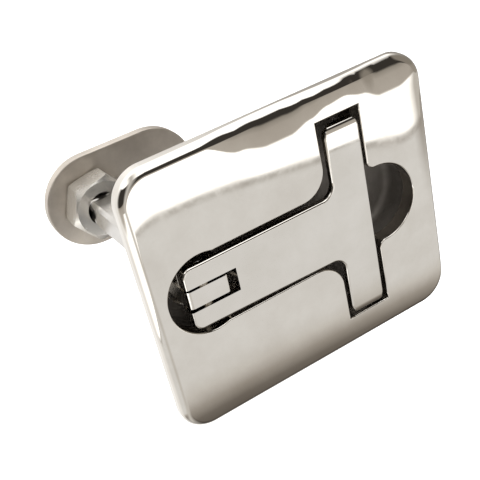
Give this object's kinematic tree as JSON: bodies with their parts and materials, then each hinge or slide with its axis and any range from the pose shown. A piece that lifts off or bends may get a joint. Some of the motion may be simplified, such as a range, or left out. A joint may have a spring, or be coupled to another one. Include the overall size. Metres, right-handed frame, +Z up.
{
  "type": "lift and turn latch",
  "caption": "Flush latch with a T-handle lying in a T-shaped cut-out of a thick plate; lifted and turned, it swings a flat cam on a long square threaded spindle behind the door.",
  "frame": {"origin": "middle of the four mounting studs, on the outer skin of the door", "axes": "+X from the spindle towards the crossbar, +Y into the door, +Z up"},
  "size_m": [0.0826, 0.0832, 0.072],
  "materials": {
    "polished_steel": "mirror polished",
    "recess_steel": "dull, drawn",
    "turned_steel": "turned",
    "fastener_steel": "satin",
    "spring_steel": "dark satin",
    "nut_steel": "bright cold-formed",
    "cam_steel": "satin, tumbled",
    "bush_plastic": "matte",
    "gasket_rubber": "matte",
    "seal_rubber": "smooth"
  },
  "bodies": {
    "housing": {"face_plate": "polished_steel", "recess_pan": "recess_steel", "guide_barrel": "turned_steel", "spindle_bush": "bush_plastic", "flange_gasket": "gasket_rubber", "mounting_studs": "turned_steel", "stud_washers": "fastener_steel", "stud_lock_washers": "fastener_steel", "stud_nuts": "fastener_steel", "seat_washer": "fastener_steel"},
    "turning": {"spindle": "turned_steel", "o_ring": "seal_rubber", "thrust_spring": "spring_steel", "thrust_washer": "fastener_steel", "retaining_ring": "spring_steel", "cam_front_nut": "nut_steel", "cam": "cam_steel", "cam_lock_washer": "fastener_steel", "cam_rear_nut": "nut_steel"},
    "handle": {"t_handle": "polished_steel", "pivot_pin": "turned_steel"}
  },
  "joints": [
    {"name": "turn", "type": "hinge", "parent": "housing", "child": "turning", "pos_m": [-0.02675, 0, 0.00075], "axis": [0, -1, 0], "range_deg": [0, 90]},
    {"name": "handle_lift", "type": "hinge", "parent": "turning", "child": "handle", "pos_m": [-0.02675, -0.0029, 0.00075], "axis": [-0.0122, 0, -0.9999], "range_deg": [0, 90]}
  ],
  "couplings": [
    {"joint": "turn", "follows": "handle_lift", "ratio": 1}
  ]
}
